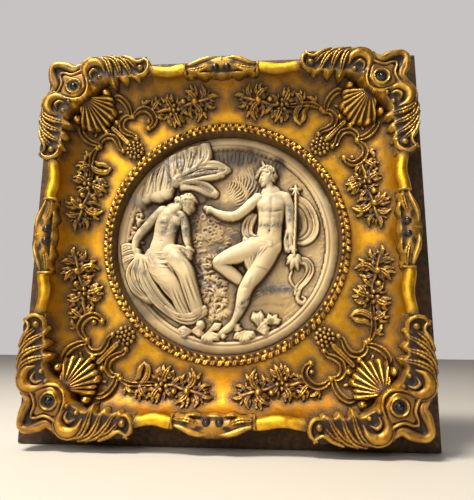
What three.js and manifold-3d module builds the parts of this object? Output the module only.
// Round marble relief in a square, deep, gilt swept frame.
// Millimetres, +Z up, the front faces -Y. The origin is the centre of the flat back.
import * as THREE from 'three';
import { mergeVertices } from 'three/addons/utils/BufferGeometryUtils.js';
import Module from 'manifold-3d';

const wasm = await Module();
wasm.setup();

// Frame mouldings: distances from the centre, and depths measured forward from the back
const HALF_SIDE = 250;
const SIDE_BAND_DEPTH = 25;
const NECK_RADIUS = 219;
const NECK_DEPTH = 54;
const RIM_CENTRE = 216;
const RIM_RADIUS = 7;
const RIM_DEPTH = 62;
const RIM_SCALLOP = 3.5;
const CORNER_END = 97;
const CENTRE_HALF = 47;
// How far each centre casting sits from the middle of its side, as fixed by hand
const CENTRE_SHIFT = { top: -4, left: -1.6, bottom: 7, right: -3.7 };
const COVE_OUTER = 208;
const COVE_INNER = 160;
const COVE_DEPTH = 64;
const SPANDREL_DEPTH = 27;
const COVE_STEPS = 7;
const GAP = 0.3;

// Opening, back board and roundel
const SIGHT_FRONT_RADIUS = 144.5;
const SIGHT_BACK_RADIUS = 143.5;
const OPENING_SIDES = 32;
const LIP_DEPTH = 13.3;
const BOARD_HALF = 205;
const BOARD_THICKNESS = 6;
const ROUNDEL_RADIUS = 148.5;
const ROUNDEL_RIM_INNER = 127;
const ROUNDEL_RIM_DEPTH = 14;
const ROUNDEL_RIM_RISE = 2.5;
const ROUNDEL_GROUND_DEPTH = 10;

// Leaf band round the opening
const BAND_OUTER = 157.5;
const BAND_RISE = 4.5;
const BAND_LEAVES = 40;
const BAND_JOINT_ANGLES = [95, 174, 302, 343, 374];

// Ornament
const RIB_COUNT = 6;
const SHELL_RADIUS = 41;
const BOSS_PLACE = [192.5, 192.5];
const BOSS_RADIUS = 6;

const goldLeaf = new THREE.MeshStandardMaterial({ color: 0xb8862b, roughness: 0.38, metalness: 0.85 });
const rubbedGold = new THREE.MeshStandardMaterial({ color: 0x9a7130, roughness: 0.45, metalness: 0.75 });
const marble = new THREE.MeshStandardMaterial({ color: 0xd8cbb0, roughness: 0.35, metalness: 0 });
const bareWood = new THREE.MeshStandardMaterial({ color: 0x6b5138, roughness: 0.8, metalness: 0 });

// Manifold helpers

function signedVolume(points, faces) {
  const [a, b, c] = [0, 1, 2].map(() => new THREE.Vector3());
  let sum = 0;
  for (let i = 0; i < faces.length; i += 3) {
    a.fromArray(points, faces[i] * 3);
    b.fromArray(points, faces[i + 1] * 3);
    c.fromArray(points, faces[i + 2] * 3);
    sum += a.dot(b.cross(c)) / 6;
  }
  return sum;
}

function solidFrom(points, faces) {
  const turned = signedVolume(points, faces) < 0;
  const triVerts = new Uint32Array(faces.length);
  for (let i = 0; i < faces.length; i += 3) {
    triVerts[i] = faces[i];
    triVerts[i + 1] = faces[i + (turned ? 2 : 1)];
    triVerts[i + 2] = faces[i + (turned ? 1 : 2)];
  }
  const vertProperties = new Float32Array(points);
  return new wasm.Manifold(new wasm.Mesh({ numProp: 3, vertProperties, triVerts }));
}

function solid(geometry) {
  geometry.deleteAttribute('normal');
  geometry.deleteAttribute('uv');
  const merged = mergeVertices(geometry, 1e-4);
  return solidFrom(merged.attributes.position.array, merged.index.array);
}

function union(solids) {
  return solids.reduce((whole, next) => whole.add(next));
}

function geometryOf(shape) {
  const { vertProperties, triVerts } = shape.getMesh();
  const geometry = new THREE.BufferGeometry();
  geometry.setAttribute('position', new THREE.BufferAttribute(vertProperties, 3));
  geometry.setIndex(new THREE.BufferAttribute(triVerts, 1));
  geometry.computeVertexNormals();
  return geometry;
}

function turnedAboutY(shape, angle) {
  return solid(geometryOf(shape).rotateY(angle));
}

function meshOf(name, shape, material) {
  const mesh = new THREE.Mesh(geometryOf(shape), material.clone());
  mesh.name = name;
  return mesh;
}

// A closed body through rings of points that all have the same count
function loft(rings) {
  const count = rings[0].length;
  const points = rings.flat(2);
  const faces = [];
  for (let i = 0; i + 1 < rings.length; i++) {
    for (let j = 0; j < count; j++) {
      const a = i * count + j;
      const b = i * count + (j + 1) % count;
      faces.push(a, b, b + count, a, b + count, a + count);
    }
  }
  const last = (rings.length - 1) * count;
  for (let j = 1; j + 1 < count; j++) {
    faces.push(0, j + 1, j, last, last + j, last + j + 1);
  }
  return solidFrom(points, faces);
}

// The cove, from the rim in to the spandrel, as [distance, depth]
const coveLine = Array.from({ length: COVE_STEPS + 1 }, (_, i) => {
  const turn = Math.PI / 2 * i / COVE_STEPS;
  return [
    COVE_INNER + (COVE_OUTER - COVE_INNER) * Math.cos(turn),
    COVE_DEPTH - (COVE_DEPTH - SPANDREL_DEPTH) * Math.sin(turn),
  ];
});

// Front surface of the mouldings, as a depth at a distance from the centre
function railFront(distance) {
  if (distance >= COVE_OUTER) return COVE_DEPTH;
  const next = coveLine.findIndex(([reach]) => reach <= distance);
  if (next < 0) return SPANDREL_DEPTH;
  const [far, farDepth] = coveLine[next - 1];
  const [near, nearDepth] = coveLine[next];
  return THREE.MathUtils.mapLinear(distance, near, far, nearDepth, farDepth);
}

function groundAt(x, z) {
  return railFront(Math.max(Math.abs(x), Math.abs(z)));
}

// Section of one rail, as [distance, depth], with the cove and scotia as arcs
function railSection(inset = 0) {
  const section = [[HALF_SIDE, 0], [HALF_SIDE, SIDE_BAND_DEPTH]];
  const scotiaSteps = 5;
  for (let i = 0; i <= scotiaSteps; i++) {
    const turn = Math.PI / 2 * i / scotiaSteps;
    section.push([
      NECK_RADIUS + (HALF_SIDE - 5 - NECK_RADIUS) * (1 - Math.sin(turn)),
      NECK_DEPTH - (NECK_DEPTH - SIDE_BAND_DEPTH - 2) * Math.cos(turn),
    ]);
  }
  section.push([NECK_RADIUS, COVE_DEPTH], ...coveLine);
  section.push([SIGHT_BACK_RADIUS * 0.68, SPANDREL_DEPTH], [SIGHT_BACK_RADIUS * 0.68, 0]);
  return section.map(([distance, depth]) => [
    distance > COVE_OUTER ? distance + inset : distance,
    depth > 0 ? depth + inset : depth,
  ]);
}

// A mitred prism of that section, along X, on the upper side
function mitredPrism(section) {
  const ring = (side) => section.map(([distance, depth]) => [side * distance, -depth, distance]);
  return loft([ring(-1), ring(1)]);
}

// Solid of revolution about Y from [radius, depth] pairs that start and end on the axis
function turned(profile, segments) {
  const outline = profile.map(([radius, depth]) => new THREE.Vector2(radius, depth));
  const geometry = new THREE.LatheGeometry(outline, segments);
  geometry.scale(1, -1, 1);
  return solid(geometry);
}

function block(width, depth, height, x, y, z) {
  const geometry = new THREE.BoxGeometry(width, depth, height);
  geometry.translate(x, y, z);
  return solid(geometry);
}

// Rim crest: a roll on a plain stretch, that dips inward between the castings
function crest(start, end) {
  const steps = 5;
  const sides = 6;
  const rings = [];
  for (let i = 0; i <= steps; i++) {
    const centre = RIM_CENTRE - RIM_SCALLOP * Math.sin(Math.PI * i / steps) ** 2;
    const along = THREE.MathUtils.lerp(start, end, i / steps);
    const ring = [];
    for (let j = 0; j < sides; j++) {
      const turn = 2 * Math.PI * j / sides;
      ring.push([along, -RIM_DEPTH - RIM_RADIUS * Math.sin(turn), centre + RIM_RADIUS * Math.cos(turn)]);
    }
    rings.push(ring);
  }
  return loft(rings);
}

function mitreWedge(gap) {
  const reach = HALF_SIDE + 20;
  const outline = [[0, 0.5 + gap], [reach, 0.5 + gap + reach], [-reach, 0.5 + gap + reach]];
  return loft([0, -90].map((y) => outline.map(([x, z]) => [x, y, z - 0.5])));
}

function openingCutter() {
  return union([
    turned([[0, -5], [ROUNDEL_RADIUS + 0.5, -5], [ROUNDEL_RADIUS + 0.5, LIP_DEPTH], [0, LIP_DEPTH]], OPENING_SIDES),
    turned([[0, 5], [SIGHT_BACK_RADIUS, 5], [SIGHT_BACK_RADIUS, LIP_DEPTH],
      [SIGHT_FRONT_RADIUS, SPANDREL_DEPTH], [SIGHT_FRONT_RADIUS, 90], [0, 90]], OPENING_SIDES),
    block(2 * BOARD_HALF, 2 * BOARD_THICKNESS, 2 * BOARD_HALF, 0, 0, 0),
  ]);
}

function rail(shift) {
  const moulding = mitredPrism(railSection()).intersect(mitreWedge(GAP));
  return union([
    moulding.subtract(openingCutter()),
    crest(GAP - CORNER_END, shift - CENTRE_HALF - GAP),
    crest(shift + CENTRE_HALF + GAP, CORNER_END - GAP),
  ]);
}

// What the castings sit on: the mouldings of the upper and the left side, a gap larger
function castingBed() {
  const upper = mitredPrism(railSection(GAP));
  return upper.add(turnedAboutY(upper, -Math.PI / 2));
}

// A roof-shaped raised line along a smooth path of [x, z] points.
// It stands on the moulding, or on the surface that level gives.
function ridge(path, { width, rise, level, steps = 4, taper = 0.25 }) {
  const curve = new THREE.SplineCurve(path.map(([x, z]) => new THREE.Vector2(x, z)));
  const rings = [];
  for (let i = 0; i <= steps; i++) {
    const { x, y: z } = curve.getPoint(i / steps);
    const tangent = curve.getTangent(i / steps);
    const swell = taper + (1 - taper) * Math.sin(Math.PI * (0.06 + 0.88 * i / steps));
    const at = (side, lift) => {
      const px = x - tangent.y * side * swell * width / 2;
      const pz = z + tangent.x * side * swell * width / 2;
      const surface = level ? level() : groundAt(px, pz) + GAP;
      return [px, -surface - lift * swell * rise, pz];
    };
    rings.push([at(1, 0), at(0, 1), at(-1, 0)]);
  }
  return loft(rings);
}

// A closed slab under a grid of [x, z, depth] points, down to the depth that base gives
function slab(grid, base) {
  const rows = grid.length;
  const columns = grid[0].length;
  const layer = rows * columns;
  const points = [];
  for (const lower of [false, true]) {
    for (const [x, z, depth] of grid.flat()) points.push(x, -(lower ? base(x, z) : depth), z);
  }
  const faces = [];
  const quad = (a, b, c, d) => faces.push(a, b, c, a, c, d);
  for (let i = 0; i + 1 < rows; i++) {
    for (let j = 0; j + 1 < columns; j++) {
      const a = i * columns + j;
      quad(a, a + 1, a + columns + 1, a + columns);
      quad(a + layer, a + columns + layer, a + columns + 1 + layer, a + 1 + layer);
    }
  }
  for (let i = 0; i + 1 < rows; i++) {
    const a = i * columns;
    const b = a + columns - 1;
    quad(a, a + columns, a + columns + layer, a + layer);
    quad(b, b + layer, b + columns + layer, b + columns);
  }
  for (let j = 0; j + 1 < columns; j++) {
    const b = (rows - 1) * columns + j;
    quad(j, j + layer, j + 1 + layer, j + 1);
    quad(b, b + 1, b + 1 + layer, b + layer);
  }
  return solidFrom(points, faces);
}

function plate(outline, back, front) {
  const shape = new THREE.Shape(outline.map(([x, z]) => new THREE.Vector2(x, z)));
  const geometry = new THREE.ExtrudeGeometry(shape, { depth: front - back, bevelEnabled: false });
  geometry.rotateX(Math.PI / 2);
  geometry.translate(0, -back, 0);
  return solid(geometry);
}

// A low rounded lump with its centre at a depth, and half sizes across, up and forward
function lump(x, z, depth, across, up = across, forward = across) {
  const geometry = new THREE.IcosahedronGeometry(1);
  geometry.scale(across, forward, up);
  geometry.translate(x, -depth, z);
  return solid(geometry);
}

function smooth(path, count) {
  const curve = new THREE.SplineCurve(path.map(([x, z]) => new THREE.Vector2(x, z)));
  return curve.getPoints(count).map(({ x, y }) => [x, y]);
}

// Corner casting, drawn for the upper left. Places are [a, b]: a mm to the left, b mm up.
const PLATE_DEPTH = 66;
const onPlate = () => PLATE_DEPTH - 1;
const mirrored = (path) => path.map(([a, b]) => [b, a]);
const toLeft = (path) => path.map(([a, b]) => [-a, b]);

function bothWays(path, options) {
  return [ridge(toLeft(path), options), ridge(toLeft(mirrored(path)), options)];
}

function cornerPlate() {
  const half = smooth([[226, 226], [212, 227], [202, 223], [189, 229], [179, 232], [168, 237],
    [155, 239], [141, 235], [126, 232], [111, 235], [101, 231], [CORNER_END, 220], [101, 211], [116, 208],
    [138, 206], [158, 203], [171, 194], [178, 178]], 13);
  const outline = [...half, ...mirrored(half).reverse().slice(1, -1)];
  return plate(toLeft(outline), 46, PLATE_DEPTH);
}

function shell() {
  const hinge = [-182, 182];
  const radii = [5, 23, SHELL_RADIUS];
  const columns = 2 * RIB_COUNT;
  const grid = radii.map((radius, row) => {
    const points = [];
    for (let column = 0; column <= columns; column++) {
      const part = column / columns;
      const angle = THREE.MathUtils.degToRad(24 - 138 * part);
      const reach = radius * (1 - 0.2 * Math.abs(2 * part - 1));
      const x = hinge[0] + reach * Math.cos(angle);
      const z = hinge[1] + reach * Math.sin(angle);
      const slope = Math.min(radius / SHELL_RADIUS, 1);
      const surface = Math.max(THREE.MathUtils.lerp(PLATE_DEPTH, groundAt(x, z) + 4, slope ** 0.8),
        groundAt(x, z) + 3);
      points.push([x, z, surface + (column % 2 ? 1 + 0.8 * row : 0)]);
    }
    return points;
  });
  return slab(grid, (x, z) => groundAt(x, z) + GAP);
}

function cornerCasting(bed) {
  const [bossX, bossZ] = BOSS_PLACE;
  const upper = { level: onPlate };
  const leaf = { ...upper, width: 9, rise: 5, steps: 2 };
  return union([
    cornerPlate().subtract(bed),
    shell(),
    lump(-bossX, bossZ, PLATE_DEPTH + 1, BOSS_RADIUS, BOSS_RADIUS, 6),
    ...bothWays([[174, 203], [180, 213], [176, 225], [166, 227], [158, 218]],
      { ...upper, width: 10, rise: 6, steps: 3 }),
    ...bothWays([[163, 232], [151, 225], [147, 211]], leaf),
    ...bothWays([[153, 235], [140, 227], [135, 213]], leaf),
    ...bothWays([[141, 231], [127, 225], [117, 215]], leaf),
    ...bothWays([[190, 153], [190, 142], [177, 130], [168, 128], [159, 141], [147, 135], [136, 128]],
      { width: 7, rise: 8, steps: 5, taper: 0.6 }),
    ridge([[-155, 155], [-139, 139], [-122, 122]], { width: 8, rise: 6, steps: 2, taper: 0.8 }),
    lump(-120, 120, SPANDREL_DEPTH + 7.5, 12, 12, 7),
    ...[[-107, 218], [-218, 107]].map(([x, z]) => lump(x, z, PLATE_DEPTH + 3, 8, 8, 4.5)),
  ]);
}

// Centre casting of one rim, drawn for the upper side
function centreCasting(bed) {
  const end = CENTRE_HALF;
  const outer = smooth([[end, 221], [19, 230], [0, 233], [-19, 230], [-end, 221]], 6);
  const inner = smooth([[-end, 206], [-24, 202], [0, 204], [24, 202], [end, 206]], 4);
  const pieces = [plate([...outer, ...inner], 46, PLATE_DEPTH).subtract(bed)];
  for (const side of [-1, 1]) {
    const path = (points) => points.map(([x, z]) => [side * x, z]);
    const upper = { level: onPlate, steps: 2 };
    pieces.push(
      lump(side * 7.5, 211, PLATE_DEPTH + 3, 6, 6, 4),
      ridge(path([[43, 209], [33, 212], [23, 214], [14, 211]]), { ...upper, width: 10, rise: 8 }),
      ridge(path([[45, 218], [34, 221], [19, 225], [1, 227]]), { ...upper, width: 7, rise: 4 }),
      ridge(path([[45, 207], [45, 219]]), { ...upper, width: 4, rise: 5, steps: 1, taper: 0.9 }),
    );
  }
  return union(pieces);
}

// Spray of leaves in the cove. Places are [s, r]: s mm from the middle of the side, r mm from the centre.
// On the left of a side it starts with a C-scroll, on the right with a leafed stem.
function spray(side) {
  const line = (path, options) => ridge(path.map(([s, r]) => [side * s, r]), options);
  const start = side < 0
    ? line([[105, 151], [97, 163], [108, 176], [125, 171]], { width: 6, rise: 6, steps: 3, taper: 0.6 })
    : line([[124, 174], [108, 174], [97, 168], [92, 153]], { width: 7, rise: 6, steps: 3, taper: 0.5 });
  return union([
    start,
    line([[98, 169], [82, 173], [56, 178], [40, 184], [14, 190]], { width: 7, rise: 5, steps: 2, taper: 0.5 }),
    line([[64, 152], [70, 172], [79, 193]], { width: 12, rise: 9, steps: 2 }),
    line([[35, 161], [40, 181], [50, 195]], { width: 11, rise: 9, steps: 2 }),
    lump(side * 57, 176, groundAt(0, 184) + 3, 7, 9, 4),
  ]);
}

// One strip of the leaf band: a zigzag of small leaves round the opening
function leafBand(from, to) {
  const perLeaf = 2;
  const step = 360 / (BAND_LEAVES * perLeaf);
  const joint = 0.25;
  const count = Math.round((to - from - 2 * joint) / step);
  const rings = [];
  for (let i = 0; i <= count; i++) {
    const angle = THREE.MathUtils.degToRad(from + joint + (to - from - 2 * joint) * i / count);
    const shift = i % perLeaf ? 0 : 1;
    const section = [
      [SIGHT_FRONT_RADIUS + 0.3, SPANDREL_DEPTH + GAP],
      [SIGHT_FRONT_RADIUS + 3 - shift, SPANDREL_DEPTH + BAND_RISE - shift],
      [BAND_OUTER - 3 - 1.5 * shift, SPANDREL_DEPTH + BAND_RISE - 1.5 * shift],
      [BAND_OUTER - 1.2 * shift, SPANDREL_DEPTH + GAP],
    ];
    rings.push(section.map(([radius, depth]) => [radius * Math.cos(angle), -depth, radius * Math.sin(angle)]));
  }
  return loft(rings);
}

// Figures of the relief

// A limb or body through [x, z, depth, half width, half depth] stations
function limb(stations) {
  const sides = stations[0][3] > 12 ? 6 : 5;
  return loft(stations.map(([x, z, depth, across, forward], i) => {
    const before = stations[Math.max(i - 1, 0)];
    const after = stations[Math.min(i + 1, stations.length - 1)];
    const run = new THREE.Vector2(after[0] - before[0], after[1] - before[1]).normalize();
    const ring = [];
    for (let j = 0; j < sides; j++) {
      const turn = 2 * Math.PI * j / sides;
      const side = across * Math.cos(turn);
      ring.push([x - run.y * side, -depth - forward * Math.sin(turn), z + run.x * side]);
    }
    return ring;
  }));
}

// A fold of cloth that lies on the relief's ground
function fold(path, width, rise, steps = 4) {
  return ridge(path, { width, rise, steps, level: () => ROUNDEL_GROUND_DEPTH - 1 });
}

function head(x, z) {
  return lump(x, z, 24, 12, 14, 10);
}

function standingYouth() {
  return [
    head(54, 82),
    limb([[55, 73, 22, 6, 6], [56, 62, 21, 7, 6]]),
    limb([[57, 62, 20, 15, 7], [57, 48, 20, 19, 9], [58, 30, 19, 14, 8], [57, 14, 19, 14, 8], [56, -4, 19, 18, 9]]),
    limb([[42, 56, 20, 6, 6], [28, 42, 21, 5.5, 5.5], [13, 32, 22, 5, 5], [-4, 38, 21, 4, 4.5], [-22, 43, 18, 5, 4]]),
    limb([[74, 56, 19, 6, 6], [80, 38, 19, 6, 6], [80, 16, 20, 5, 5], [84, -8, 22, 5, 4]]),
    limb([[46, -4, 20, 12, 9], [22, -16, 23, 10, 9], [-6, -29, 25, 8, 8]]),
    limb([[-8, -27, 24, 7.5, 8], [-4, -36, 22, 7, 7], [4, -58, 18, 6, 6], [14, -78, 15, 4.5, 5], [22, -86, 13, 7, 4]]),
    limb([[58, -6, 19, 13, 9], [32, -52, 21, 8, 8], [22, -78, 18, 6.5, 6.5], [12, -100, 16, 4.5, 5],
      [-4, -116, 14, 6, 4]]),
    fold([[74, 0], [56, -14], [40, -18], [30, -38]], 15, 20, 3),
    limb([[90, 66, 17, 2, 3], [89, 20, 19, 2, 3], [86, -28, 20, 2, 3]]),
    lump(90, 68, 18, 5, 5, 4),
    lump(90, -32, 16, 6, 8, 7),
    fold([[88, -34], [96, -48], [104, -42]], 9, 10, 2),
    fold([[87, -36], [92, -54], [96, -70]], 9, 9, 2),
  ];
}

function billowingCloak() {
  const rows = 2;
  const grid = [];
  for (let i = 0; i <= rows; i++) {
    const t = i / rows;
    const row = [];
    for (let j = 0; j <= 5; j++) {
      const angle = THREE.MathUtils.degToRad(95 - 190 * j / 5);
      const x = 90 + (8 + 22 * t) * Math.cos(angle);
      const z = 26 + (10 + 26 * t) * Math.sin(angle);
      row.push([x, z, 13 + (i % 2 ? 3.5 : 1) + 2 * t]);
    }
    grid.push(row);
  }
  return slab(grid, () => ROUNDEL_GROUND_DEPTH - 2);
}

function seatedFigure() {
  return [
    head(-47, 48),
    limb([[-54, 40, 22, 6, 6], [-64, 32, 20, 8, 7]]),
    limb([[-64, 40, 20, 13, 8], [-70, 26, 21, 18, 10], [-76, 8, 19, 15, 9], [-78, -6, 19, 16, 10], [-76, -22, 19, 22, 12]]),
    limb([[-84, 40, 19, 6, 7], [-100, 26, 20, 6, 6], [-112, 14, 19, 5, 6], [-116, -4, 19, 4.5, 5], [-110, -20, 19, 5, 5]]),
    limb([[-58, 34, 22, 6, 6], [-56, 16, 23, 5.5, 5.5], [-54, 2, 23, 4.5, 5], [-50, -12, 22, 5, 4]]),
    limb([[-82, -26, 20, 15, 12], [-62, -42, 24, 13, 12], [-50, -52, 24, 11, 10]]),
    limb([[-52, -48, 22, 13, 10], [-42, -72, 18, 14, 9], [-30, -96, 14, 13, 6]]),
    fold([[-104, -20], [-104, -50], [-92, -78], [-70, -98]], 18, 15, 2),
    fold([[-90, -28], [-86, -56], [-72, -82], [-46, -104]], 18, 18, 3),
    fold([[-70, -42], [-64, -66], [-50, -90], [-26, -110]], 16, 18, 3),
    fold([[-130, 4], [-131, -14], [-118, -44]], 18, 11, 2),
  ];
}

// Cloth gathered on a bough above the seated figure: a fan of folds about a knot
function canopy() {
  const knot = [-70, 70];
  const columns = 10;
  const grid = [0.1, 0.6, 1].map((part, row) => {
    const points = [];
    for (let j = 0; j <= columns; j++) {
      const across = j / columns;
      const angle = THREE.MathUtils.degToRad(198 - 182 * across);
      const reach = part * (44 + 40 * across ** 0.6);
      let x = knot[0] + reach * Math.cos(angle);
      let z = knot[1] + reach * Math.sin(angle);
      const out = Math.hypot(x, z) / (ROUNDEL_RIM_INNER + 1);
      if (out > 1) [x, z] = [x / out, z / out];
      const swell = 14 + 9 * Math.sin(Math.PI * Math.min(part, 0.8));
      points.push([x, z, swell + (j % 2 ? 2 * row : 0)]);
    }
    return points;
  });
  return slab(grid, () => ROUNDEL_GROUND_DEPTH - 2);
}

function background() {
  const pieces = [];
  const bough = [[-26, 20], [-8, 4], [-24, -14]];
  bough.forEach(([x, z], i) => pieces.push(lump(x, z, 13, 12, 10, 4 + i % 2)));
  for (const z of [10, 36]) pieces.push(lump(-123, z, 14, 8, 14, 6));
  const foot = [[-44, -116, 16], [-20, -124, -10], [22, -122, 14], [48, -108, -12]];
  for (const [x, z, lean] of foot) {
    pieces.push(fold([[x, z - 4], [x + lean / 2, z + 5], [x + lean, z + 8]], 10, 8, 2));
  }
  pieces.push(fold([[12, -90], [30, -80], [54, -70], [88, -66]], 14, 5, 3));
  return pieces;
}

function roundel() {
  const rim = ROUNDEL_RIM_DEPTH;
  const crown = (ROUNDEL_RIM_INNER + SIGHT_BACK_RADIUS) / 2;
  const disc = turned([
    [0, BOARD_THICKNESS], [ROUNDEL_RADIUS, BOARD_THICKNESS], [ROUNDEL_RADIUS, LIP_DEPTH - GAP],
    [SIGHT_BACK_RADIUS - 1, LIP_DEPTH - GAP], [crown, rim + ROUNDEL_RIM_RISE],
    [ROUNDEL_RIM_INNER, ROUNDEL_GROUND_DEPTH], [0, ROUNDEL_GROUND_DEPTH],
  ], OPENING_SIDES);
  return union([disc, ...standingYouth(), billowingCloak(), ...seatedFigure(), canopy(), ...background()]);
}

// Assembly
const plaque = new THREE.Group();
const quarter = Math.PI / 2;

const boardSide = 2 * (BOARD_HALF - GAP);
const board = block(boardSide, BOARD_THICKNESS - GAP, boardSide, 0, -(BOARD_THICKNESS - GAP) / 2, 0);
plaque.add(meshOf('back_board', board, bareWood));
plaque.add(meshOf('marble_roundel', roundel(), marble));

const bed = castingBed();
const sides = ['top', 'left', 'bottom', 'right'];
const corners = ['corner_top_left', 'corner_bottom_left', 'corner_bottom_right', 'corner_top_right'];
const sprayNames = [
  ['spray_top_left', 'spray_top_right'], ['spray_left_lower', 'spray_left_upper'],
  ['spray_bottom_right', 'spray_bottom_left'], ['spray_right_upper', 'spray_right_lower'],
];
const cornerShape = cornerCasting(bed);
const centreShape = centreCasting(bed);
const sprayShapes = [-1, 1].map((side) => spray(side));

sides.forEach((side, i) => {
  const group = new THREE.Group();
  group.rotation.y = -quarter * i;
  group.add(meshOf(`rail_${side}`, rail(CENTRE_SHIFT[side]), goldLeaf));
  group.add(meshOf(corners[i], cornerShape, rubbedGold));
  const centre = meshOf(`centre_${side}`, centreShape, rubbedGold);
  centre.position.x = CENTRE_SHIFT[side];
  group.add(centre);
  sprayShapes.forEach((shape, j) => group.add(meshOf(sprayNames[i][j], shape, rubbedGold)));
  plaque.add(group);
});

BAND_JOINT_ANGLES.forEach((from, i) => {
  const to = BAND_JOINT_ANGLES[i + 1] ?? BAND_JOINT_ANGLES[0] + 360;
  plaque.add(meshOf(`leaf_band_${i + 1}`, leafBand(from, to), rubbedGold));
});

export default plaque;
